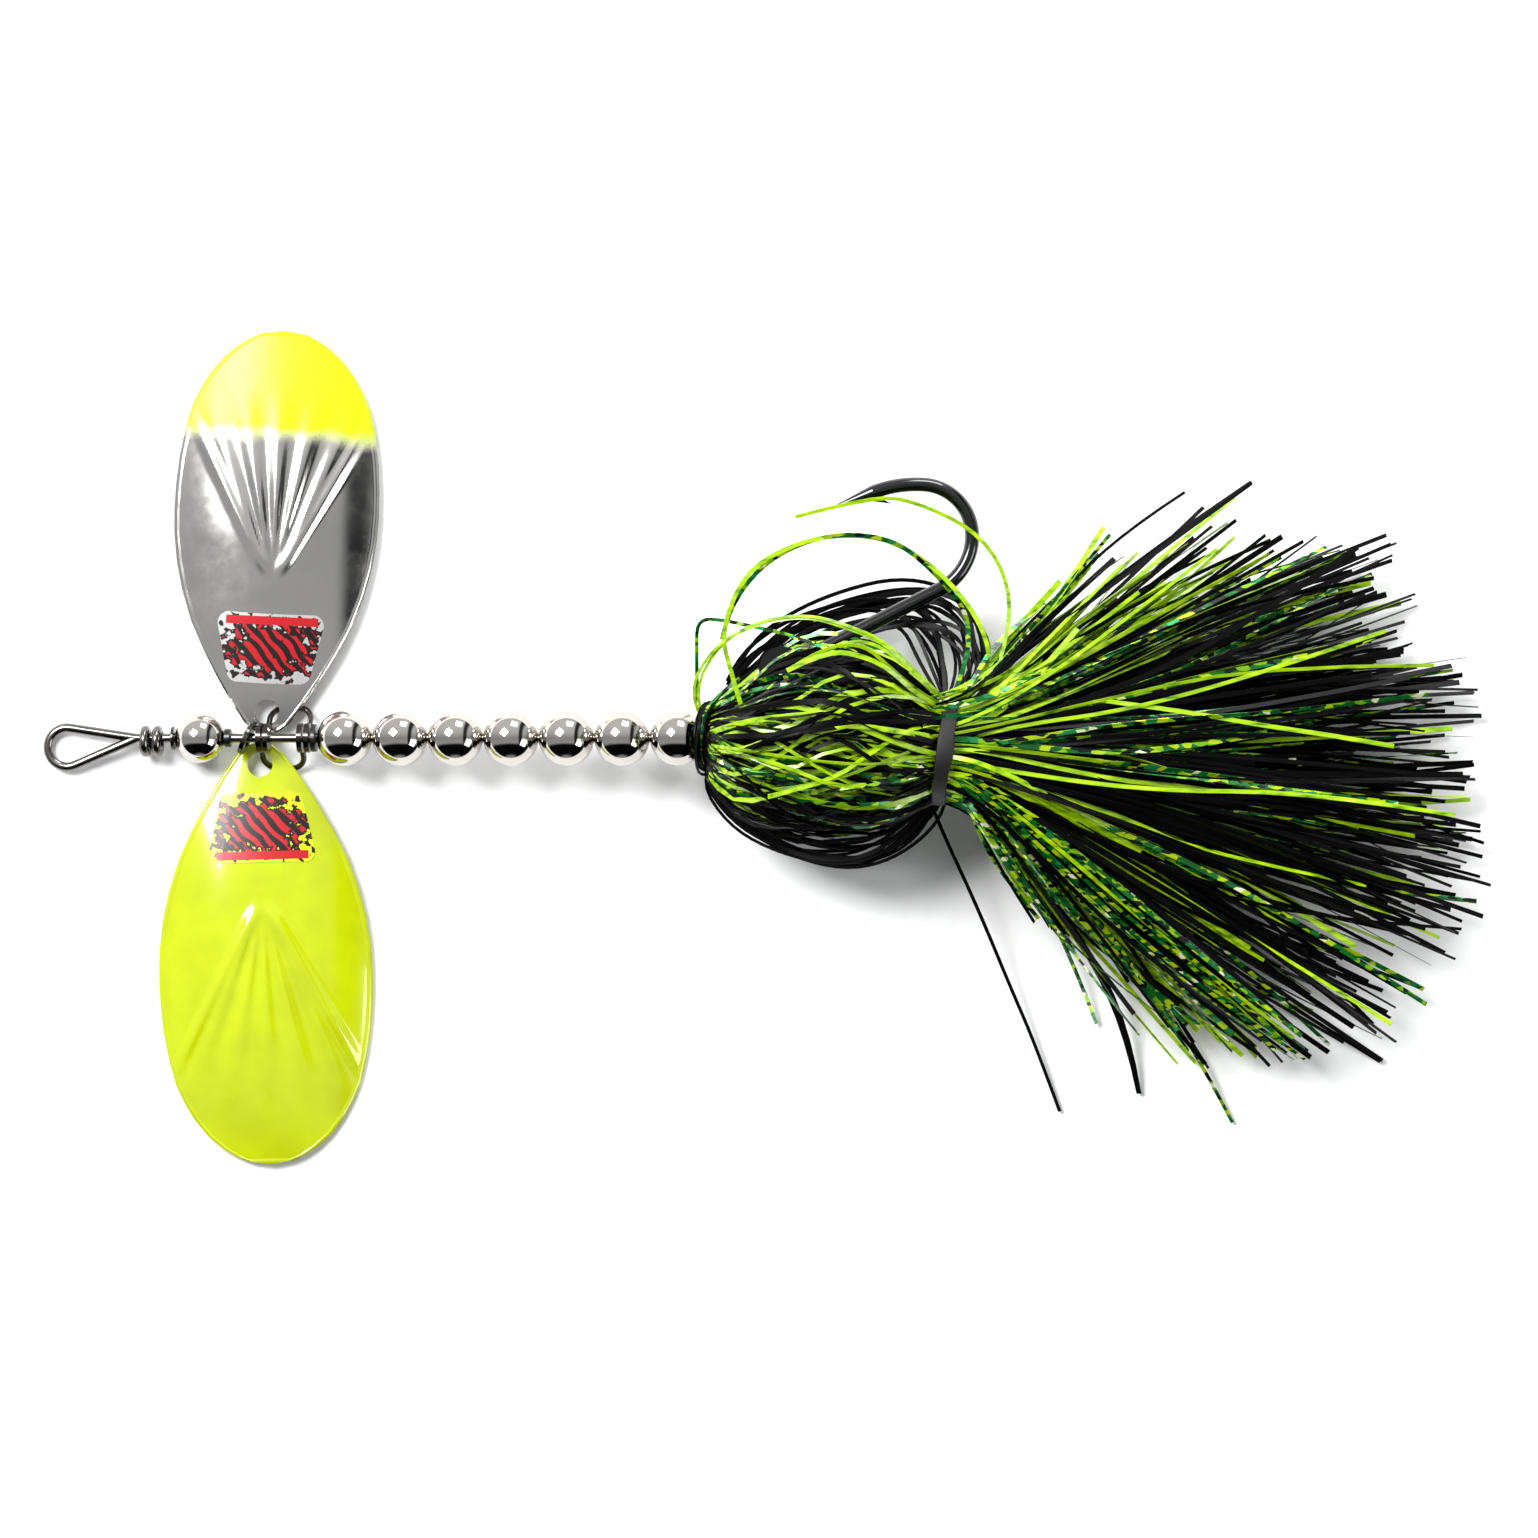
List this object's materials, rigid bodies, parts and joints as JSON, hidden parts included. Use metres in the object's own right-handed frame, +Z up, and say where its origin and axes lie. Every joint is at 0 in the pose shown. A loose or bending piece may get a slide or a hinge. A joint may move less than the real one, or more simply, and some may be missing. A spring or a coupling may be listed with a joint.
{
  "type": "in-line spinner lure",
  "caption": "In-line fishing lure: wire shaft with line tie, spinning blades on clevises, a row of polished beads, a banded flash skirt and a barbed hook.",
  "frame": {"origin": "middle of the lying lure's footprint, on the surface it lies on", "axes": "+X from the line tie to the tail, +Y towards the nickel blade and the hook, +Z up"},
  "size_m": [0.2098, 0.1198, 0.0313],
  "materials": {
    "stainless_wire": "drawn stainless spring wire",
    "polished_nickel": "bright nickel plate",
    "black_nickel": "polished black nickel plate",
    "chartreuse_enamel": "gloss fluorescent chartreuse enamel",
    "printed_film": "clear film printed in red and black",
    "clear_plastic": "moulded plastic sleeve",
    "black_thread": "waxed tying thread",
    "black_strand": "thin glossy black film strands",
    "green_foil_strand": "holographic green foil strands",
    "chartreuse_strand": "translucent chartreuse film strands",
    "black_rubber": "flat elastic band",
    "black_hook_enamel": "black chemical finish on tempered steel wire"
  },
  "bodies": {
    "shaft": {"shaft_wire": "stainless_wire", "skirt_hub": "clear_plastic", "tying_thread": "black_thread", "skirt_black_top": "black_strand", "skirt_green_top": "green_foil_strand", "skirt_chartreuse_side": "chartreuse_strand", "skirt_green_side": "green_foil_strand", "skirt_black_bottom": "black_strand", "skirt_black_under_hook": "black_strand", "elastic_band": "black_rubber", "strand_bundle": "black_strand", "tail_chartreuse_upper": "chartreuse_strand", "tail_green_upper": "green_foil_strand", "tail_black_upper": "black_strand", "tail_black_middle": "black_strand", "tail_green_lower": "green_foil_strand", "tail_black_lower": "black_strand"},
    "nose_washer": {"nose_washer": "black_nickel"},
    "front_bead": {"front_bead": "polished_nickel"},
    "thrust_bush": {"thrust_bush": "black_nickel"},
    "cup_washer": {"cup_washer": "black_nickel"},
    "clevis_chartreuse": {"clevis_chartreuse": "black_nickel"},
    "blade_chartreuse": {"blade_chartreuse": "chartreuse_enamel", "label_chartreuse": "printed_film"},
    "clevis_nickel": {"clevis_nickel": "black_nickel"},
    "blade_nickel": {"blade_nickel": "polished_nickel", "label_nickel": "printed_film"},
    "rear_washer": {"rear_washer": "black_nickel"},
    "body_bead_1": {"body_bead_1": "polished_nickel"},
    "body_bead_2": {"body_bead_2": "polished_nickel"},
    "body_bead_3": {"body_bead_3": "polished_nickel"},
    "body_bead_4": {"body_bead_4": "polished_nickel"},
    "body_bead_5": {"body_bead_5": "polished_nickel"},
    "body_bead_6": {"body_bead_6": "polished_nickel"},
    "body_bead_7": {"body_bead_7": "polished_nickel"},
    "body_bead_8": {"body_bead_8": "polished_nickel"},
    "split_ring": {"split_ring": "black_nickel"},
    "hook": {"hook": "black_hook_enamel"}
  },
  "joints": [
    {"name": "nose_washer_spin", "type": "hinge", "parent": "shaft", "child": "nose_washer", "pos_m": [-0.08607, 0.00135, 0.00313], "axis": [0.9925, 0, 0.1219], "continuous": true},
    {"name": "front_bead_spin", "type": "hinge", "parent": "shaft", "child": "front_bead", "pos_m": [-0.08227, 0.00135, 0.0036], "axis": [0.9925, 0, 0.1219], "continuous": true},
    {"name": "thrust_bush_spin", "type": "hinge", "parent": "shaft", "child": "thrust_bush", "pos_m": [-0.07817, 0.00135, 0.0041], "axis": [0.9925, 0, 0.1219], "continuous": true},
    {"name": "cup_washer_spin", "type": "hinge", "parent": "shaft", "child": "cup_washer", "pos_m": [-0.07557, 0.00135, 0.00442], "axis": [0.9925, 0, 0.1219], "continuous": true},
    {"name": "clevis_chartreuse_spin", "type": "hinge", "parent": "shaft", "child": "clevis_chartreuse", "pos_m": [-0.07362, 0.00135, 0.00466], "axis": [0.9925, 0, 0.1219], "continuous": true},
    {"name": "clevis_nickel_spin", "type": "hinge", "parent": "shaft", "child": "clevis_nickel", "pos_m": [-0.07262, 0.00135, 0.00479], "axis": [0.9925, 0, 0.1219], "continuous": true},
    {"name": "rear_washer_spin", "type": "hinge", "parent": "shaft", "child": "rear_washer", "pos_m": [-0.06587, 0.00135, 0.00561], "axis": [0.9925, 0, 0.1219], "continuous": true},
    {"name": "body_bead_1_spin", "type": "hinge", "parent": "shaft", "child": "body_bead_1", "pos_m": [-0.06142, 0.00135, 0.00616], "axis": [0.9925, 0, 0.1219], "continuous": true},
    {"name": "body_bead_2_spin", "type": "hinge", "parent": "shaft", "child": "body_bead_2", "pos_m": [-0.05347, 0.00135, 0.00714], "axis": [0.9925, 0, 0.1219], "continuous": true},
    {"name": "body_bead_3_spin", "type": "hinge", "parent": "shaft", "child": "body_bead_3", "pos_m": [-0.04552, 0.00135, 0.00811], "axis": [0.9925, 0, 0.1219], "continuous": true},
    {"name": "body_bead_4_spin", "type": "hinge", "parent": "shaft", "child": "body_bead_4", "pos_m": [-0.03757, 0.00135, 0.00909], "axis": [0.9925, 0, 0.1219], "continuous": true},
    {"name": "body_bead_5_spin", "type": "hinge", "parent": "shaft", "child": "body_bead_5", "pos_m": [-0.02962, 0.00135, 0.01006], "axis": [0.9925, 0, 0.1219], "continuous": true},
    {"name": "body_bead_6_spin", "type": "hinge", "parent": "shaft", "child": "body_bead_6", "pos_m": [-0.02167, 0.00135, 0.01104], "axis": [0.9925, 0, 0.1219], "continuous": true},
    {"name": "body_bead_7_spin", "type": "hinge", "parent": "shaft", "child": "body_bead_7", "pos_m": [-0.01372, 0.00135, 0.01202], "axis": [0.9925, 0, 0.1219], "continuous": true},
    {"name": "body_bead_8_spin", "type": "hinge", "parent": "shaft", "child": "body_bead_8", "pos_m": [-0.00577, 0.00135, 0.01299], "axis": [0.9925, 0, 0.1219], "continuous": true},
    {"name": "blade_chartreuse_swing", "type": "hinge", "parent": "clevis_chartreuse", "child": "blade_chartreuse", "pos_m": [-0.0731, -0.00292, 0.00046], "axis": [-0.9925, 0, -0.1219], "range_deg": [0, 60]},
    {"name": "blade_nickel_swing", "type": "hinge", "parent": "clevis_nickel", "child": "blade_nickel", "pos_m": [-0.0721, 0.00561, 0.00058], "axis": [0.9925, 0, 0.1219], "range_deg": [0, 60]},
    {"name": "split_ring_swing", "type": "hinge", "parent": "shaft", "child": "split_ring", "pos_m": [0.00553, 0.00135, 0.01438], "axis": [0, 0, 1], "range_deg": [-6, 6]},
    {"name": "hook_swing", "type": "hinge", "parent": "split_ring", "child": "hook", "pos_m": [0.00113, 0.01105, 0.01438], "axis": [0, 0, 1], "range_deg": [-6, 6]}
  ],
  "couplings": [
    {"joint": "clevis_nickel_spin", "follows": "clevis_chartreuse_spin", "ratio": 1}
  ]
}
